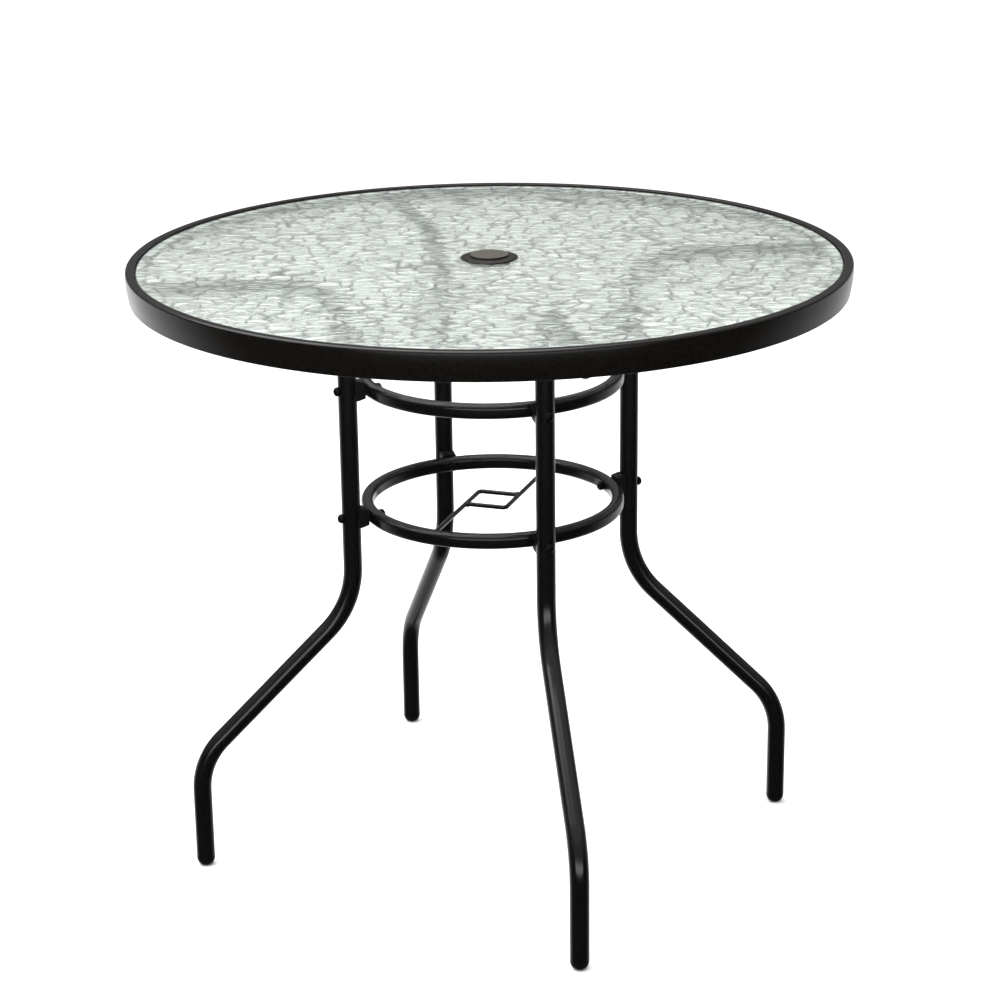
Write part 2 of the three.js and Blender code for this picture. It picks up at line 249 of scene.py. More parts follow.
def linear(hexColour):
    channels = [int(hexColour[i:i + 2], 16) / 255 for i in (1, 3, 5)]
    return tuple(c / 12.92 if c <= 0.04045 else ((c + 0.055) / 1.055) ** 2.4 for c in channels) + (1.0,)


def addNode(tree, kind, settings=None, **inputs):
    # inputs are values or sockets, by the input's own name, or atN for input N
    # at1 to at4 are the from and to values of a Map Range; a Mix has its share in at0, and its two sides in
    # at2 and at3, or in at6 and at7 if they are colours
    node = tree.nodes.new(kind)
    for name, value in (settings or {}).items():
        setattr(node, name, value)
    for name, value in inputs.items():
        numbered = name.startswith("at") and name[2:].isdigit()
        socket = node.inputs[int(name[2:]) if numbered else name.replace("_", " ")]
        if isinstance(value, bpy.types.NodeSocket):
            tree.links.new(value, socket)
        else:
            socket.default_value = value
    return node


def newMaterial(name):
    material = bpy.data.materials.new(name)
    material.use_nodes = True
    tree = material.node_tree
    tree.nodes.clear()
    output = addNode(tree, "ShaderNodeOutputMaterial")
    place = addNode(tree, "ShaderNodeTexCoord").outputs["Object"]
    return material, tree, output, place


coating = {"cloud": 60, "speck": 1.6, "speckFrom": 0.4, "speckTo": 0.62, "peel": 0.9, "peelDepth": 0.04,
           "peelStrength": 0.5, "smoother": 0.01, "rougher": 0.02}


def coatedSteel(name, light, dark, roughness, specular):
    # sprayed and baked powder coat: a satin near-black with fine warm specks and an orange peel, both drawn
    # coarser than the real ones so that they show
    material, tree, output, place = newMaterial(name)
    cloud = addNode(tree, "ShaderNodeTexNoise", Vector=place, Scale=1000 / coating["cloud"], Detail=3.0)
    speck = addNode(tree, "ShaderNodeTexNoise", Vector=place, Scale=1000 / coating["speck"], Detail=2.0)
    tone = addNode(tree, "ShaderNodeValToRGB", Fac=speck.outputs["Fac"])
    low, high = tone.color_ramp.elements
    low.position, high.position = coating["speckFrom"], coating["speckTo"]
    low.color, high.color = linear(dark), linear(light)
    peel = addNode(tree, "ShaderNodeTexNoise", Vector=place, Scale=1000 / coating["peel"], Detail=2.0)
    bump = addNode(tree, "ShaderNodeBump", Height=peel.outputs["Fac"], Strength=coating["peelStrength"],
                   Distance=mm(coating["peelDepth"]))
    sheen = addNode(tree, "ShaderNodeMapRange", Value=cloud.outputs["Fac"],
                    at1=noiseRange[0], at2=noiseRange[1],
                    at3=roughness - coating["smoother"], at4=roughness + coating["rougher"])
    shader = addNode(tree, "ShaderNodeBsdfPrincipled", Base_Color=tone.outputs["Color"],
                     Roughness=sheen.outputs["Result"], Normal=bump.outputs["Normal"])
    shader.inputs["Specular IOR Level"].default_value = specular
    tree.links.new(shader.outputs[0], output.inputs["Surface"])
    return material


# the black colour here is painted shade, given to edges that would lie in shadow, and it fades in over a
# small height
moulding = {"cloud": 14, "grainStrength": 0.4, "smoother": 0.04, "rougher": 0.06, "black": "#060606",
            "shadeFade": 0.05}


def mouldedPlastic(name, light, dark, roughness, specular, grain, grainDepth, paintedShadeBelow=None):
    # injection moulded: slightly uneven in tone, with a spark-eroded grain drawn coarse enough to show, and
    # painted shade below a height if one is given: black where its edge would lie in shadow
    material, tree, output, place = newMaterial(name)
    cloud = addNode(tree, "ShaderNodeTexNoise", Vector=place, Scale=1000 / moulding["cloud"], Detail=3.0)
    tone = addNode(tree, "ShaderNodeMix", {"data_type": "RGBA"}, at0=cloud.outputs["Fac"],
                   at6=linear(dark), at7=linear(light))
    colour = tone.outputs[2]
    # painted shade: below the given height the colour turns black, standing in for the shadow on the piece's
    # edge
    if paintedShadeBelow:
        height = addNode(tree, "ShaderNodeSeparateXYZ", Vector=place).outputs["Z"]
        top = addNode(tree, "ShaderNodeMapRange", Value=height, at1=mm(paintedShadeBelow - moulding["shadeFade"]),
                      at2=mm(paintedShadeBelow + moulding["shadeFade"]))
        colour = addNode(tree, "ShaderNodeMix", {"data_type": "RGBA"}, at0=top.outputs["Result"],
                         at6=linear(moulding["black"]), at7=colour).outputs[2]
    pits = addNode(tree, "ShaderNodeTexVoronoi", Vector=place, Scale=1000 / grain)
    bump = addNode(tree, "ShaderNodeBump", Height=pits.outputs["Distance"],
                   Strength=moulding["grainStrength"], Distance=mm(grainDepth))
    sheen = addNode(tree, "ShaderNodeMapRange", Value=cloud.outputs["Fac"],
                    at1=noiseRange[0], at2=noiseRange[1],
                    at3=roughness - moulding["smoother"], at4=roughness + moulding["rougher"])
    shader = addNode(tree, "ShaderNodeBsdfPrincipled", Base_Color=colour,
                     Roughness=sheen.outputs["Result"], Normal=bump.outputs["Normal"])
    shader.inputs["Specular IOR Level"].default_value = specular
    tree.links.new(shader.outputs[0], output.inputs["Surface"])
    return material


# The relief that is pressed into the glass: "stretch" multiplies the place, so that its lower value makes
# the cobbles longer along X, and "groove" is how far a crease's slope reaches, as a share of a cobble's size
cobble = {"size": 14, "stretch": (0.56, 0.98, 0), "warp": 28, "shift": 12, "groove": 0.42,
          "grooveDepth": 0.52, "swell": 11, "swellHeight": 0.2}
# the crease colours here are painted shade: a darker tone at the foot of each crease slope, and dark lines
# along the creases
glassFinish = {"body": "#e5eae6", "creaseFootShade": "#d4d9d5", "creaseLineShade": "#3d4441", "shadow": "#e8efeb",
               "lineWidth": 0.1, "lineAbove": 0.45, "fadeFrom": 1.5, "fadeTo": 2.5, "bumpDepth": 0.35,
               "ripple": 5, "rippleDepth": 0.06, "roughness": 0.11, "ior": 1.5, "clearness": 0.9,
               "edgeClearness": 0.72, "clearTo": 380, "cloudyFrom": 387}


def cobbleField(tree, place):
    # the pressed pattern, for the mesh and the material alike: the distance from the nearest crease, and the
    # bent and stretched place that it is read at
    onFlat = addNode(tree, "ShaderNodeVectorMath", {"operation": "MULTIPLY"}, at0=place, at1=(1, 1, 0))
    warp = addNode(tree, "ShaderNodeTexNoise", Vector=onFlat.outputs[0], Scale=1000 / cobble["warp"],
                   Detail=2.0)
    centred = addNode(tree, "ShaderNodeVectorMath", {"operation": "SUBTRACT"}, at0=warp.outputs["Color"],
                      at1=(0.5, 0.5, 0.5))
    shift = addNode(tree, "ShaderNodeVectorMath", {"operation": "SCALE"}, at0=centred.outputs[0],
                    Scale=mm(cobble["shift"]))
    bent = addNode(tree, "ShaderNodeVectorMath", {"operation": "ADD"}, at0=onFlat.outputs[0],
                   at1=shift.outputs[0])
    stretched = addNode(tree, "ShaderNodeVectorMath", {"operation": "MULTIPLY"}, at0=bent.outputs[0],
                        at1=cobble["stretch"]).outputs[0]
    edges = addNode(tree, "ShaderNodeTexVoronoi", {"feature": "DISTANCE_TO_EDGE"}, Vector=stretched,
                    Scale=1000 / cobble["size"])
    return edges.outputs["Distance"], stretched


def patternedGlass(name, underside):
    # rolled and tempered glass, flat above and cobbled below: nearly colourless, with painted shade that
    # darkens it along the creases, and cloudy enough that what lies under it shows grey, most of all over
    # the ledge at its edge
    material, tree, output, place = newMaterial(name)
    edges = cobbleField(tree, place)[0]
    # painted shade: dark lines along the creases, fainter on the flat side
    crease = addNode(tree, "ShaderNodeMapRange", Value=edges, at1=0.0, at2=glassFinish["lineWidth"],
                     at3=1.0, at4=0.0)
    height = addNode(tree, "ShaderNodeSeparateXYZ", Vector=place).outputs["Z"]
    depth = addNode(tree, "ShaderNodeMapRange", Value=height, at1=mm(underside + glassFinish["fadeFrom"]),
                    at2=mm(underside + glassFinish["fadeTo"]), at3=1.0, at4=glassFinish["lineAbove"])
    lineShadeMask = addNode(tree, "ShaderNodeMath", {"operation": "MULTIPLY"}, at0=crease.outputs["Result"],
                    at1=depth.outputs["Result"])
    groove = addNode(tree, "ShaderNodeMapRange", Value=edges, at1=0.0, at2=cobble["groove"],
                     at3=0.0, at4=1.0)
    # painted shade: the tint is darker at the foot of each crease slope than in the middle of a cobble
    body = addNode(tree, "ShaderNodeMix", {"data_type": "RGBA"}, at0=groove.outputs["Result"],
                   at6=linear(glassFinish["creaseFootShade"]), at7=linear(glassFinish["body"]))
    # the painted shade of the crease lines is laid over the glass's own tint
    tintAndShade = addNode(tree, "ShaderNodeMix", {"data_type": "RGBA"}, at0=lineShadeMask.outputs[0],
                   at6=body.outputs[2], at7=linear(glassFinish["creaseLineShade"]))
    # light bends at the creases and at a slight ripple
    ripple = addNode(tree, "ShaderNodeTexNoise", Vector=place, Scale=1000 / glassFinish["ripple"],
                     Detail=2.0)
    fine = addNode(tree, "ShaderNodeBump", Height=ripple.outputs["Fac"], Strength=1.0,
                   Distance=mm(glassFinish["rippleDepth"]))
    bump = addNode(tree, "ShaderNodeBump", Height=groove.outputs["Result"], Strength=1.0,
                   Distance=mm(glassFinish["bumpDepth"]), Normal=fine.outputs["Normal"])
    # cloudier over the ledge
    onFlat = addNode(tree, "ShaderNodeVectorMath", {"operation": "MULTIPLY"}, at0=place, at1=(1, 1, 0))
    reach = addNode(tree, "ShaderNodeVectorMath", {"operation": "LENGTH"}, at0=onFlat.outputs[0])
    clearness = addNode(tree, "ShaderNodeMapRange", Value=reach.outputs["Value"],
                        at1=mm(glassFinish["clearTo"]), at2=mm(glassFinish["cloudyFrom"]),
                        at3=glassFinish["clearness"], at4=glassFinish["edgeClearness"])
    shader = addNode(tree, "ShaderNodeBsdfPrincipled", Base_Color=tintAndShade.outputs[2], IOR=glassFinish["ior"],
                     Roughness=glassFinish["roughness"], Normal=bump.outputs["Normal"],
                     Transmission_Weight=clearness.outputs["Result"])
    # light on its way to the floor passes straight through
    clear = addNode(tree, "ShaderNodeBsdfTransparent", Color=linear(glassFinish["shadow"]))
    ray = addNode(tree, "ShaderNodeLightPath")
    through = addNode(tree, "ShaderNodeMixShader", at0=ray.outputs["Is Shadow Ray"], at1=shader.outputs[0],
                      at2=clear.outputs[0])
    tree.links.new(through.outputs[0], output.inputs["Surface"])
    return material


epdm = {"light": "#161615", "dark": "#070707", "bloom": 25, "grain": 0.7, "grainDepth": 0.03,
        "grainStrength": 0.4, "roughness": 0.75, "specular": 0.3}


def blackRubber(name):
    # extruded EPDM: deep matte black with a dusty bloom
    material, tree, output, place = newMaterial(name)
    bloom = addNode(tree, "ShaderNodeTexNoise", Vector=place, Scale=1000 / epdm["bloom"], Detail=4.0)
    tone = addNode(tree, "ShaderNodeMix", {"data_type": "RGBA"}, at0=bloom.outputs["Fac"],
                   at6=linear(epdm["dark"]), at7=linear(epdm["light"]))
    grain = addNode(tree, "ShaderNodeTexNoise", Vector=place, Scale=1000 / epdm["grain"], Detail=1.0)
    bump = addNode(tree, "ShaderNodeBump", Height=grain.outputs["Fac"], Strength=epdm["grainStrength"],
                   Distance=mm(epdm["grainDepth"]))
    shader = addNode(tree, "ShaderNodeBsdfPrincipled", Base_Color=tone.outputs[2],
                     Roughness=epdm["roughness"], Normal=bump.outputs["Normal"])
    shader.inputs["Specular IOR Level"].default_value = epdm["specular"]
    tree.links.new(shader.outputs[0], output.inputs["Surface"])
    return material


plating = {"light": "#1b1b1c", "dark": "#0c0c0c", "patch": 3, "metallic": 0.85, "smoothest": 0.3,
           "roughest": 0.42}


def blackZinc(name):
    # black zinc plated steel: a dark metal with a soft shine and slightly patchy plating
    material, tree, output, place = newMaterial(name)
    patch = addNode(tree, "ShaderNodeTexNoise", Vector=place, Scale=1000 / plating["patch"], Detail=3.0)
    tone = addNode(tree, "ShaderNodeMix", {"data_type": "RGBA"}, at0=patch.outputs["Fac"],
                   at6=linear(plating["dark"]), at7=linear(plating["light"]))
    sheen = addNode(tree, "ShaderNodeMapRange", Value=patch.outputs["Fac"], at1=noiseRange[0],
                    at2=noiseRange[1], at3=plating["smoothest"], at4=plating["roughest"])
    shader = addNode(tree, "ShaderNodeBsdfPrincipled", Base_Color=tone.outputs[2],
                     Metallic=plating["metallic"], Roughness=sheen.outputs["Result"])
    tree.links.new(shader.outputs[0], output.inputs["Surface"])
    return material


powderCoat = coatedSteel("powderCoatedSteel", light="#0b0b0a", dark="#050505", roughness=0.19, specular=0.48)
rimCoat = coatedSteel("powderCoatedRim", light="#14110e", dark="#040403", roughness=0.24, specular=0.36)
rubber = blackRubber("epdmRubber")
blackPlastic = mouldedPlastic("mouldedPolypropylene", light="#0b0b0b", dark="#060606", roughness=0.46,
                              specular=0.15, grain=0.9, grainDepth=0.05)
boltSteel = blackZinc("blackZincSteel")
print("shared materials made")

# Rim: a rolled sheet band with a rounded lip, a ledge ring welded inside it, and a gasket
rim = {"radius": 406.4, "top": 711.2, "bottom": 679.2, "drawIn": 3, "sheet": 1.8, "shoulder": 14,
       "bulge": 100, "innerBulge": 98, "rounding": 3, "innerRounding": 1.4, "footRounding": 0.85,
       "lipInner": 396, "lipRounding": 1.1, "lipInnerRounding": 1, "skirtRounding": 0.5, "sides": 256}
ledge = {"inner": 382, "top": 701.7, "bottom": 699.2, "gap": 0.3, "rounding": 0.5, "outerRounding": 0.3}
gasket = {"outer": 395.7, "seatInner": 385.7, "seat": 702.0, "wall": 1.2, "top": 708.5, "rounding": 0.4,
          "cornerRounding": 0.3, "topRounding": 0.5}


def rimBand():
    foot = rim["radius"] - rim["drawIn"]
    shoulder = rim["top"] - rim["shoulder"]
    under = rim["top"] - rim["sheet"]
    inside = rim["radius"] - rim["sheet"]
    behindLip = rim["lipInner"] + rim["sheet"]
    outline = softOutline([
        (foot, rim["bottom"], rim["footRounding"]),
        (rim["radius"], shoulder, rim["bulge"]),
        (rim["radius"], rim["top"], rim["rounding"]),
        (rim["lipInner"], rim["top"], rim["lipRounding"]),
        (rim["lipInner"], ledge["bottom"], rim["skirtRounding"]),
        (behindLip, ledge["bottom"], rim["skirtRounding"]),
        (behindLip, under, rim["lipInnerRounding"]),
        (inside, under, rim["innerRounding"]),
        (inside, shoulder, rim["innerBulge"]),
        (foot - rim["sheet"], rim["bottom"], rim["footRounding"]),
    ], steps=5)
    return turnPiece("rimBand", outline, rim["sides"])


def ledgeRing():
    outer = rim["lipInner"] - ledge["gap"]
    outline = softOutline([
        (ledge["inner"], ledge["bottom"], ledge["rounding"]),
        (outer, ledge["bottom"], ledge["outerRounding"]),
        (outer, ledge["top"], ledge["outerRounding"]),
        (ledge["inner"], ledge["top"], ledge["rounding"]),
    ], steps=2)
    return turnPiece("ledgeRing", outline, rim["sides"])


def gasketRing():
    # an angle in section: a seat under the glass and a wall round it
    step = gasket["seat"] + gasket["wall"]
    inside = gasket["outer"] - gasket["wall"]
    outline = softOutline([
        (gasket["seatInner"], gasket["seat"], gasket["rounding"]),
        (gasket["outer"], gasket["seat"], gasket["cornerRounding"]),
        (gasket["outer"], gasket["top"], gasket["topRounding"]),
        (inside, gasket["top"], gasket["topRounding"]),
        (inside, step, 0),
        (gasket["seatInner"], step, gasket["rounding"]),
    ], steps=2)
    return turnPiece("gasketRing", outline, rim["sides"])


for piece, node, slot, look in ((rimBand(), "rim_band", "powder_coat", rimCoat),
                                (ledgeRing(), "rim_ledge", "powder_coat", powderCoat),
                                (gasketRing(), "glass_gasket", "rubber", rubber)):
    smooth(piece)
    dress(piece, "table", [node], look)
print("rim made")

# Glass: a round sheet with ground edges and a hole in the middle, its underside pressed into cobbles
glass = {"radius": 394.2, "hole": 24.5, "top": 708.5, "bottom": 703.5, "rounding": 0.8, "holeRounding": 0.4,
         "sides": 256, "softTo": 50, "grid": 290, "margin": 3, "lift": 0.05, "blockHeight": 20}


def pressedRelief():
    # nodes that press creases and a swell upwards into a flat underside
    tree = bpy.data.node_groups.new("pressedRelief", "GeometryNodeTree")
    tree.interface.new_socket("Mesh", in_out="INPUT", socket_type="NodeSocketGeometry")
    tree.interface.new_socket("Mesh", in_out="OUTPUT", socket_type="NodeSocketGeometry")
    edges, stretched = cobbleField(tree, addNode(tree, "GeometryNodeInputPosition").outputs[0])
    groove = addNode(tree, "ShaderNodeMapRange", Value=edges, at1=0.0, at2=cobble["groove"],
                     at3=1.0, at4=0.0)
    curved = addNode(tree, "ShaderNodeMath", {"operation": "POWER"}, at0=groove.outputs["Result"], at1=2.0)
    creases = addNode(tree, "ShaderNodeMath", {"operation": "MULTIPLY"}, at0=curved.outputs[0],
                      at1=mm(cobble["grooveDepth"]))
    swell = addNode(tree, "ShaderNodeTexNoise", Vector=stretched, Scale=1000 / cobble["swell"], Detail=1.0)
    rise = addNode(tree, "ShaderNodeMath", {"operation": "MULTIPLY_ADD"}, at0=swell.outputs["Fac"],
                   at1=mm(cobble["swellHeight"]), at2=creases.outputs[0])
    offset = addNode(tree, "ShaderNodeCombineXYZ", Z=rise.outputs[0])
    pressed = addNode(tree, "GeometryNodeSetPosition", Geometry=addNode(tree, "NodeGroupInput").outputs[0],
                      Offset=offset.outputs[0])
    tree.links.new(pressed.outputs[0], addNode(tree, "NodeGroupOutput").inputs[0])
    return tree


def cobbledBlock():
    # a block with a flat top, whose underside bulges between creases
    clearSelection()
    bpy.ops.mesh.primitive_grid_add(x_subdivisions=glass["grid"], y_subdivisions=glass["grid"],
                                    size=mm(2 * (glass["radius"] + glass["margin"])),
                                    location=(0, 0, mm(glass["bottom"] + glass["lift"])))
    block = startPiece("cobbledBlock")
    applyModifier(block, "NODES", node_group=pressedRelief())
    openEdit(block)
    bpy.ops.mesh.region_to_loop()
    bpy.ops.mesh.extrude_edges_move(TRANSFORM_OT_translate={"value": (0, 0, mm(glass["blockHeight"]))})
    bpy.ops.mesh.edge_face_add()
    bpy.ops.mesh.select_all(action="SELECT")
    bpy.ops.mesh.normals_make_consistent(inside=False)
    closeEdit()
    return block


def glassSheet():
    outline = softOutline([
        (glass["hole"], glass["bottom"], glass["holeRounding"]),
        (glass["radius"], glass["bottom"], glass["rounding"]),
        (glass["radius"], glass["top"], glass["rounding"]),
        (glass["hole"], glass["top"], glass["holeRounding"]),
    ], steps=3)
    disc = turnPiece("glassSheet", outline, glass["sides"])
    combine(disc, cobbledBlock(), "INTERSECT")
    return disc


glassLook = patternedGlass("patternedTemperedGlass", glass["bottom"])
sheet = glassSheet()
smooth(sheet, glass["softTo"])
dress(sheet, "table", ["glass_top"], glassLook)
print("glass made")

# Grommet and its cap
# each piece has a height below which it is coloured black as painted shade: the grommet's flange edge and
# the cap's side wall
grommet = {"bore": 20, "sleeve": 24.2, "sleeveEnd": 697.5, "flange": 32.3, "flangeBottom": 708.8,
           "flangeTop": 711.8, "edge": 1.4, "crown": 1.1, "recess": 22.1, "seat": 710.7, "boreRounding": 0.4,
           "sleeveRounding": 0.6, "rounding": 0.3, "flangeRounding": 0.7, "domeRounding": 6,
           "crownRounding": 0.5, "paintedShadeBelow": 710.6, "sides": 96}
cap = {"radius": 21.8, "bottom": 711.0, "top": 713.6, "rounding": 0.4, "underRounding": 0.2,
       "skirtOuter": 19.7, "skirtInner": 17.9, "skirtEnd": 700.0, "skirtRounding": 0.4, "border": 6,
       "dishSlope": 1, "dishDepth": 0.08, "paintedShadeBelow": 713.35, "sides": 96}


def grommetRing():
    # its flange falls away from the crown, a raised edge round the cap's recess
    crown = grommet["recess"] + grommet["crown"]
    middle = (grommet["flange"] + crown) / 2
    outline = softOutline([
        (grommet["bore"], grommet["sleeveEnd"], grommet["boreRounding"]),
        (grommet["sleeve"], grommet["sleeveEnd"], grommet["sleeveRounding"]),
        (grommet["sleeve"], grommet["flangeBottom"], 0),
        (grommet["flange"], grommet["flangeBottom"], grommet["rounding"]),
        (grommet["flange"], grommet["flangeBottom"] + grommet["edge"], grommet["flangeRounding"]),
        (middle, grommet["flangeTop"] - grommet["edge"] / 4, grommet["domeRounding"]),
        (crown, grommet["flangeTop"], grommet["crownRounding"]),
        (grommet["recess"], grommet["flangeTop"], grommet["rounding"]),
        (grommet["recess"], grommet["seat"], 0),
        (grommet["bore"], grommet["seat"], grommet["rounding"]),
    ], steps=4)
    return turnPiece("grommetRing", outline, grommet["sides"])


def grommetCap():
    # a flat border round a slightly sunk middle, and a skirt below
    dish = cap["radius"] - cap["border"]
    outline = softOutline([
        (cap["skirtInner"], cap["bottom"], 0),
        (cap["skirtInner"], cap["skirtEnd"], cap["skirtRounding"]),
        (cap["skirtOuter"], cap["skirtEnd"], cap["skirtRounding"]),
        (cap["skirtOuter"], cap["bottom"], 0),
        (cap["radius"], cap["bottom"], cap["underRounding"]),
        (cap["radius"], cap["top"], cap["rounding"]),
        (dish, cap["top"], 0),
        (dish - cap["dishSlope"], cap["top"] - cap["dishDepth"], 0),
    ], steps=5, closed=False)
    return turnPiece("grommetCap", outline, cap["sides"], closed=False)


# painted shade: the flange's plastic is coloured much darker than the cap's, standing in for the shade on
# its domed face
grommetPlastic = mouldedPlastic("mouldedAbsDarkenedAsShade", light="#1c1915", dark="#13110e", roughness=0.22,
                                specular=0.3, grain=0.8, grainDepth=0.03, paintedShadeBelow=grommet["paintedShadeBelow"])
capPlastic = mouldedPlastic("mouldedGreyAbs", light="#4a4640", dark="#403c36", roughness=0.3,
                            specular=0.5, grain=0.8, grainDepth=0.03, paintedShadeBelow=cap["paintedShadeBelow"])
ringPiece, capPiece = grommetRing(), grommetCap()
smooth(ringPiece)
smooth(capPiece)
dress(ringPiece, "table", ["umbrella_grommet"], grommetPlastic)
dress(capPiece, "cap", ["umbrella_cap"], capPlastic)
print("grommet made")

# Legs: one bent tube each, with a plug in either end
leg = {"circle": 171, "tube": 10.75, "seat": 10.8, "wall": 1.6, "footReach": 184, "footEnd": 10.8,
       "ankle": 132, "ankleBend": 88, "knee": 318, "kneeBend": 110, "arm": 688.4, "topBend": 68,
       "armEndRadius": 398.1, "armBoltRadius": 387.8, "sides": 32}
plug = {"sole": 4, "dome": 10.5, "domeStep": 10, "stem": 8.6, "stemTop": 26.8, "stemChamfer": 0.8,
        "shoulder": 0.5, "step": 0.2}
endPlug = {"stem": 4.5, "chamfer": 0.6, "gap": 0.3, "flange": 1.6, "edgeHeight": 0.5, "edgeMiddle": 0.2,
           "edgeWidth": 0.6}


def legTube(armEnd):
    rise, reach = leg["knee"] - leg["ankle"], leg["footReach"]
    slope = math.hypot(rise, reach)
    turn = math.degrees(math.atan2(reach, rise))
    half = math.tan(math.radians(turn) / 2)
    ankleRun = leg["ankleBend"] * half
    kneeRun = leg["kneeBend"] * half
    tube = pullTube("legTube", leg["tube"], leg["sides"], (leg["footReach"], leg["footEnd"]), [
        ("run", leg["ankle"] - leg["footEnd"] - ankleRun),
        ("bend", leg["ankleBend"], -turn),
        ("run", slope - ankleRun - kneeRun),
        ("bend", leg["kneeBend"], turn),
        ("run", leg["arm"] - leg["knee"] - kneeRun - leg["topBend"]),
        ("bend", leg["topBend"], 90),
        ("run", armEnd - leg["topBend"]),
    ])
    applyModifier(tube, "SOLIDIFY", thickness=mm(leg["wall"]), offset=-1, use_even_offset=True)
    return tube


def footPlug():
    # a flat sole, a quarter-round side and a stem that stands in the tube
    angles = [math.radians(angle) for angle in range(0, 91, plug["domeStep"])]
    side = leg["tube"] - plug["sole"]
    dome = [(plug["sole"] + side * math.sin(angle), plug["dome"] * (1 - math.cos(angle)))
            for angle in angles]
    foot = plug["dome"] + plug["step"]
    stem = [(leg["tube"] - plug["shoulder"], foot), (plug["stem"], foot),
            (plug["stem"], plug["stemTop"] - plug["stemChamfer"]),
            (plug["stem"] - plug["stemChamfer"], plug["stemTop"])]
    return turnPiece("footPlug", dome + stem, leg["sides"], closed=False)


def armPlug():
    # a stem in the tube and a flange with a rounded edge at its end
    outline = [(plug["stem"] - endPlug["chamfer"], -endPlug["stem"]),
               (plug["stem"], endPlug["chamfer"] - endPlug["stem"]),
               (plug["stem"], endPlug["gap"]),
               (leg["tube"], endPlug["gap"]),
               (leg["tube"], endPlug["flange"] - endPlug["edgeHeight"]),
               (leg["tube"] - endPlug["edgeMiddle"], endPlug["flange"] - endPlug["edgeMiddle"]),
               (leg["tube"] - endPlug["edgeWidth"], endPlug["flange"])]
    return turnPiece("armPlug", outline, leg["sides"], closed=False)


# Bolts: a domed head with a hex socket, a plain shank and a few turns of thread at the tip
bolt = {"shank": 3, "head": 5.3, "rim": 1.2, "neck": 0.3, "neckLength": 0.2, "socket": 2.31,
        "socketDepth": 2.6, "tip": 0.6, "tipEdge": 0.1, "tipLength": 0.5, "threadStart": 0.7, "pitch": 1.0,
        "threadDepth": 0.3, "ringDome": 5.4, "ringThreads": 7, "pastNut": 1.6, "armDome": 3.6,
        "armThreads": 4, "armLength": 23.8, "sides": 32}


def domedBolt(name, dome, length, threads):
    # the head stands on height 0 and the shank hangs below it
    outline = [(bolt["shank"] - bolt["tip"], -length),
               (bolt["shank"] - bolt["tipEdge"], bolt["tipLength"] - length)]
    for k in range(threads):
        foot = bolt["threadStart"] - length + k * bolt["pitch"]
        outline += [(bolt["shank"] - bolt["threadDepth"], foot + bolt["pitch"] / 2),
                    (bolt["shank"], foot + bolt["pitch"])]
    outline += [(bolt["shank"], -bolt["neckLength"]), (bolt["shank"] + bolt["neck"], 0),
                (bolt["head"], 0), (bolt["head"], bolt["rim"])]
    angles = [math.radians(angle) for angle in range(15, 76, 12)]
    outline += [(bolt["head"] * math.cos(angle), bolt["rim"] + (dome - bolt["rim"]) * math.sin(angle))
                for angle in angles]
    piece = turnPiece(name, outline, bolt["sides"], closed=False)
    # the socket's cutter is as long as the head is high, and ends at the socket's floor
    clearSelection()
    bpy.ops.mesh.primitive_cylinder_add(vertices=6, radius=mm(bolt["socket"]), depth=mm(dome),
                                        location=(0, 0, mm(dome * 1.5 - bolt["socketDepth"])))
    combine(piece, bpy.context.active_object)
    smooth(piece)
    return piece


foot, arm = footPlug(), armPlug()
smooth(foot)
smooth(arm)
armBolt = domedBolt("armBolt", bolt["armDome"], bolt["armLength"], bolt["armThreads"])
for side in legAngles:
    node, place = side.lower(), legPlace(side)
    armEnd = alongArm(side, leg["armEndRadius"])
    tube = legTube(armEnd)
    smooth(tube)
    dress(copyTo(tube, f"leg{side}", place), "table", [f"leg_{node}"], powderCoat)
    bpy.data.objects.remove(tube)
    dress(copyTo(foot, f"footPlug{side}", place @ moved(leg["footReach"], 0, 0)),
          "table", [f"foot_plug_{node}"], blackPlastic)
    dress(copyTo(arm, f"armPlug{side}", place @ moved(armEnd, 0, leg["arm"]) @ turned(90, "Y")),
          "table", [f"arm_plug_{node}"], blackPlastic)
    boltSpot = place @ moved(alongArm(side, leg["armBoltRadius"]), 0, leg["arm"] - leg["seat"])
    dress(copyTo(armBolt, f"armBolt{side}", boltSpot @ turned(180, "X")),
          "table", [f"arm_bolt_{node}"], boltSteel)
for piece in (foot, arm, armBolt):
    bpy.data.objects.remove(piece)
print("legs made")

# Rings: a flattened tube bent round, joined to each leg by a spacer, a bolt and a nut
ring = {"circle": 145, "width": 14.4, "depth": 17, "seat": 152.3, "rounding": 5.6, "lower": 422.5,
        "upper": 572.5, "sides": 192}
spacer = {"width": 17, "legHeight": 23.5, "ringHeight": 17.5, "ringEdge": 150, "legEdge": 160.2,
          "rounding": 1.4, "cutter": 60, "legSides": 64, "ringSides": 256}
nut = {"corner": 5.774, "thickness": 5, "seat": 137.4, "rounding": 0.5, "hole": 3.2, "holeSides": 32,
       "cutter": 20}


def braceRing():
    inner, outer = ring["circle"] - ring["width"] / 2, ring["circle"] + ring["width"] / 2
    outline = softOutline([
        (inner, -ring["depth"] / 2, ring["rounding"]),
        (outer, -ring["depth"] / 2, ring["rounding"]),
        (outer, ring["depth"] / 2, ring["rounding"]),
        (inner, ring["depth"] / 2, ring["rounding"]),
    ], steps=6)
    return turnPiece("braceRing", outline, ring["sides"])


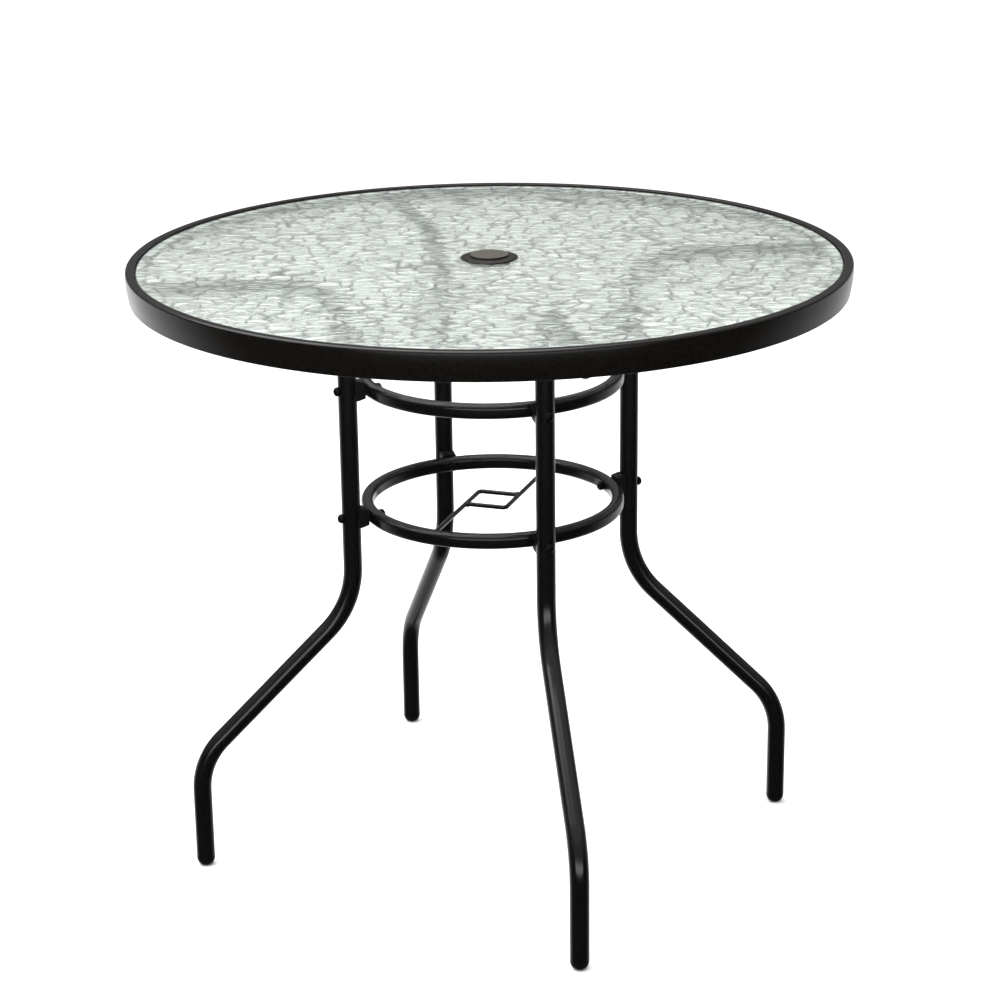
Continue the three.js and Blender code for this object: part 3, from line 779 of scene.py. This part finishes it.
def ringSpacer():
    # along Z from the ring to the leg: a block whose far end is taller, hollowed for the two tubes
    length = spacer["legEdge"] - spacer["ringEdge"]
    clearSelection()
    bpy.ops.mesh.primitive_cube_add(size=1, location=(0, 0, mm(spacer["ringEdge"] + length / 2)),
                                    scale=(mm(spacer["ringHeight"]), mm(spacer["width"]), mm(length)))
    piece = startPiece("ringSpacer")
    openEdit(piece, "FACE")
    pickFaces(piece, lambda face: face.normal.z > 0.9)
    bpy.ops.transform.resize(value=(spacer["legHeight"] / spacer["ringHeight"], 1, 1))
    toLeg = mm(leg["circle"] - spacer["legEdge"])
    bpy.ops.mesh.extrude_region_move(TRANSFORM_OT_translate={"value": (0, 0, toLeg)})
    bpy.ops.mesh.select_all(action="SELECT")
    bpy.ops.mesh.bevel(offset=mm(spacer["rounding"]), segments=3, affect="EDGES")
    closeEdit()
    for radius, height, sides in ((leg["seat"], leg["circle"], spacer["legSides"]),
                                  (ring["seat"], 0, spacer["ringSides"])):
        clearSelection()
        bpy.ops.mesh.primitive_cylinder_add(vertices=sides, radius=mm(radius), depth=mm(spacer["cutter"]),
                                            location=(0, 0, mm(height)), rotation=(0, math.radians(90), 0))
        combine(piece, bpy.context.active_object)
    smooth(piece)
    return piece


def hexNut():
    clearSelection()
    bpy.ops.mesh.primitive_cylinder_add(vertices=6, radius=mm(nut["corner"]), depth=mm(nut["thickness"]),
                                        location=(0, 0, mm(nut["seat"] - nut["thickness"] / 2)))
    piece = startPiece("hexNut")
    openEdit(piece)
    bpy.ops.mesh.bevel(offset=mm(nut["rounding"]), segments=2, affect="EDGES")
    closeEdit()
    clearSelection()
    bpy.ops.mesh.primitive_cylinder_add(vertices=nut["holeSides"], radius=mm(nut["hole"]),
                                        depth=mm(nut["cutter"]), location=(0, 0, mm(nut["seat"])))
    combine(piece, bpy.context.active_object)
    smooth(piece)
    return piece


band, block, hexPiece = braceRing(), ringSpacer(), hexNut()
smooth(band)
headSeat = leg["circle"] + leg["seat"]
tipEnd = nut["seat"] - nut["thickness"] - bolt["pastNut"]
ringBolt = domedBolt("ringBolt", bolt["ringDome"], headSeat - tipEnd, bolt["ringThreads"])
for level in ("lower", "upper"):
    height = ring[level]
    dress(copyTo(band, f"{level}Ring", moved(0, 0, height)), "table", [f"{level}_ring"],
          powderCoat)
    for side, angle in legAngles.items():
        node, place = side.lower(), boltPlace(angle, height)
        dress(copyTo(block, f"{level}Spacer{side}", place), "table", [f"{level}_spacer_{node}"],
              blackPlastic)
        dress(copyTo(hexPiece, f"{level}Nut{side}", place), "table", [f"{level}_nut_{node}"],
              boltSteel)
        dress(copyTo(ringBolt, f"{level}Bolt{side}", place @ moved(0, 0, headSeat)),
              "table", [f"{level}_bolt_{node}"], boltSteel)
for piece in (band, block, hexPiece, ringBolt):
    bpy.data.objects.remove(piece)
print("rings made")

# Pole guide: two rods, each bent once and welded to the ring and to the other rod
wire = {"rod": 2.6, "short": 2.55, "lane": 24.3, "angle": -19, "bend": 5, "bendSteps": 10, "reach": 135.84,
        "sides": 20, "softTo": 50}
weld = {"radius": 3.5, "halfLength": 4.5, "uneven": 0.45, "seed": 4}


def weldBead(spot, tilt):
    clearSelection()
    bpy.ops.mesh.primitive_ico_sphere_add(subdivisions=4, radius=mm(weld["radius"]),
                                          location=[mm(v) for v in spot],
                                          rotation=(0, math.radians(tilt), 0),
                                          scale=(1, 1, weld["halfLength"] / weld["radius"]))
    bead = startPiece("weldBead")
    openEdit(bead, "VERT")
    bpy.ops.transform.vertex_random(offset=mm(weld["uneven"]), seed=weld["seed"])
    bpy.ops.mesh.vertices_smooth(factor=0.5, repeat=2)
    closeEdit()
    return bead


def guideRod():
    # drawn upwards from the ring to its bend, and from there across to the side of the other rod
    rise, across = wire["reach"] + wire["lane"], 2 * wire["lane"] - wire["short"]
    rod = pullTube("guideRod", wire["rod"], wire["sides"], (0, 0), [
        ("run", rise - wire["bend"]),
        ("bend", wire["bend"], 90),
        ("run", across - wire["bend"]),
    ], bendSteps=wire["bendSteps"])
    openEdit(rod)
    bpy.ops.mesh.fill_holes(sides=0)
    bpy.ops.mesh.normals_make_consistent(inside=False)
    closeEdit()
    for spot, tilt in (((0, 0, 0), 90), ((across, 0, rise), 0)):
        combine(rod, weldBead(spot, tilt), "UNION")
    return rod


rodPiece = guideRod()
smooth(rodPiece, wire["softTo"])
# lays the rod flat, so that the two of them frame a square round the table's middle
laidFlat = Matrix(((0, 0, -1, mm(wire["reach"])), (1, 0, 0, mm(-wire["lane"])), (0, -1, 0, 0), (0, 0, 0, 1)))
for name, turn in (("Front", 0), ("Back", 180)):
    place = moved(0, 0, ring["lower"]) @ aroundTable(wire["angle"]) @ turned(turn, "Z") @ laidFlat
    dress(copyTo(rodPiece, f"poleGuide{name}", place), "table", [f"pole_guide_{name.lower()}"],
          powderCoat)
bpy.data.objects.remove(rodPiece)
print("pole guide made")

# Studio: a white paper floor, a soft lamp overhead, a strip lamp in front, and light from all round
paper = {"light": "#fbfbfa", "dark": "#f7f7f5", "fibre": 250, "roughness": 0.9, "width": 80}  # fibre in mm
overhead = {"place": (-1.3, 0.1, 2.6), "aim": (-1.3, 0.1, 0), "size": (3.6, 2.8), "watts": 127}
frontStrip = {"place": (0.8, -6, 0.45), "aim": (0.8, 0, 0.45), "size": (10, 1.4), "watts": 150}
# strengths by direction, and the heights and sides, from -1 to 1, between which one part fades into the next
sky = {"top": 1.5, "topShine": 0.65, "topFade": (0.4, 0.66),
       "horizon": 0.06, "wall": 0.3, "wallFade": (0.12, 0.3), "throughGlass": 1.8,
       "front": 0.02, "behind": 1.05, "behindFade": (0.0, 1.0), "left": 1.7, "leftFade": (-0.4, 0.4),
       "levelFade": (-0.06, 0.06), "seen": 1.0}


def studioFloor():
    clearSelection()
    bpy.ops.mesh.primitive_plane_add(size=paper["width"], location=(0, 0, 0))
    floor = bpy.context.active_object
    floor.name = "studioFloor"
    material, tree, output, place = newMaterial("mattePaper")
    fibre = addNode(tree, "ShaderNodeTexNoise", Vector=place, Scale=1000 / paper["fibre"], Detail=2.0)
    tone = addNode(tree, "ShaderNodeMix", {"data_type": "RGBA"}, at0=fibre.outputs["Fac"],
                   at6=linear(paper["dark"]), at7=linear(paper["light"]))
    shader = addNode(tree, "ShaderNodeBsdfPrincipled", Base_Color=tone.outputs[2],
                     Roughness=paper["roughness"])
    shader.inputs["Specular IOR Level"].default_value = 0.0
    tree.links.new(shader.outputs[0], output.inputs["Surface"])
    floor.data.materials.append(material)
    floor.visible_glossy = False  # shiny pieces mirror the world's lower half instead


def softbox(name, place, aim, size, watts):
    clearSelection()
    bpy.ops.object.light_add(type="AREA", location=place)
    lamp = bpy.context.active_object
    lamp.name = name
    lamp.rotation_euler = (Vector(aim) - Vector(place)).to_track_quat("-Z", "Y").to_euler()
    lamp.data.shape = "RECTANGLE"
    lamp.data.size, lamp.data.size_y = size
    lamp.data.energy = watts
    lamp.visible_camera = False
    return lamp


def skipPiece(lamp, piece):
    # the lamp lights everything but this piece
    skipped = bpy.data.collections.new("skippedBy" + lamp.name)
    skipped.objects.link(piece)
    skipped.collection_objects[0].light_linking.link_state = "EXCLUDE"
    lamp.light_linking.receiver_collection = skipped


def studioWorld():
    # bright overhead, but dimmer there to shiny surfaces, and a low dim wall all round that is bright only
    # through the glass; below the horizon it is dark in front, and light behind, most of all on the left
    world = bpy.data.worlds.new("studioWorld")
    scene.world = world
    world.use_nodes = True
    tree = world.node_tree
    tree.nodes.clear()
    output = addNode(tree, "ShaderNodeOutputWorld")
    ray = addNode(tree, "ShaderNodeLightPath")
    heading = addNode(tree, "ShaderNodeTexCoord").outputs["Generated"]
    side, depth, height = addNode(tree, "ShaderNodeSeparateXYZ", Vector=heading).outputs
    dimWall = addNode(tree, "ShaderNodeMapRange", Value=height, at1=sky["wallFade"][0],
                      at2=sky["wallFade"][1], at3=sky["horizon"], at4=sky["wall"])
    wall = addNode(tree, "ShaderNodeMix", at0=ray.outputs["Is Transmission Ray"], at2=dimWall.outputs[0],
                   at3=sky["throughGlass"])
    top = addNode(tree, "ShaderNodeMix", at0=ray.outputs["Is Glossy Ray"], at2=sky["top"],
                  at3=sky["topShine"])
    overWall = addNode(tree, "ShaderNodeMapRange", Value=height, at1=sky["topFade"][0],
                       at2=sky["topFade"][1])
    upper = addNode(tree, "ShaderNodeMix", at0=overWall.outputs[0], at2=wall.outputs[0], at3=top.outputs[0])
    behind = addNode(tree, "ShaderNodeMapRange", Value=depth, at1=sky["behindFade"][0],
                     at2=sky["behindFade"][1], at3=sky["front"], at4=sky["behind"])
    left = addNode(tree, "ShaderNodeMapRange", Value=side, at1=sky["leftFade"][0], at2=sky["leftFade"][1],
                   at3=sky["left"], at4=1.0)
    lower = addNode(tree, "ShaderNodeMath", {"operation": "MULTIPLY"}, at0=behind.outputs[0],
                    at1=left.outputs[0])
    overLevel = addNode(tree, "ShaderNodeMapRange", Value=height, at1=sky["levelFade"][0],
                        at2=sky["levelFade"][1])
    whole = addNode(tree, "ShaderNodeMix", at0=overLevel.outputs[0], at2=lower.outputs[0],
                    at3=upper.outputs[0])
    seen = addNode(tree, "ShaderNodeMix", at0=ray.outputs["Is Camera Ray"], at2=whole.outputs[0],
                   at3=sky["seen"])
    shell = addNode(tree, "ShaderNodeBackground", Color=linear("#ffffff"), Strength=seen.outputs[0])
    tree.links.new(shell.outputs[0], output.inputs["Surface"])


studioFloor()
softbox("overheadSoftbox", **overhead)
skipPiece(softbox("frontStrip", **frontStrip), sheet)
studioWorld()
scene.view_settings.view_transform = "Standard"
scene.view_settings.look = "None"
print("studio made")

# Camera at the photograph's angle
view = {"lens": 93.195, "sensor": 36, "distance": 3.0, "elevation": 18.64, "aim": (0.00863, 0, 0.42159),
        "roll": -0.71, "near": 0.05, "far": 200}


def addCamera():
    rise, roll = math.radians(view["elevation"]), math.radians(view["roll"])
    back = Vector((0, -math.cos(rise), math.sin(rise)))
    top = Vector((0, math.sin(rise), math.cos(rise)))
    right = Vector((1, 0, 0))
    across = right * math.cos(roll) + top * math.sin(roll)
    above = top * math.cos(roll) - right * math.sin(roll)
    spot = Vector(view["aim"]) + back * view["distance"]
    bpy.ops.object.camera_add()
    camera = bpy.context.active_object
    camera.data.lens = view["lens"]
    camera.data.sensor_width = view["sensor"]
    camera.data.clip_start = view["near"]
    camera.data.clip_end = view["far"]
    camera.matrix_world = Matrix((
        (across.x, above.x, back.x, spot.x),
        (across.y, above.y, back.y, spot.y),
        (across.z, above.z, back.z, spot.z),
        (0, 0, 0, 1)))
    scene.camera = camera


addCamera()
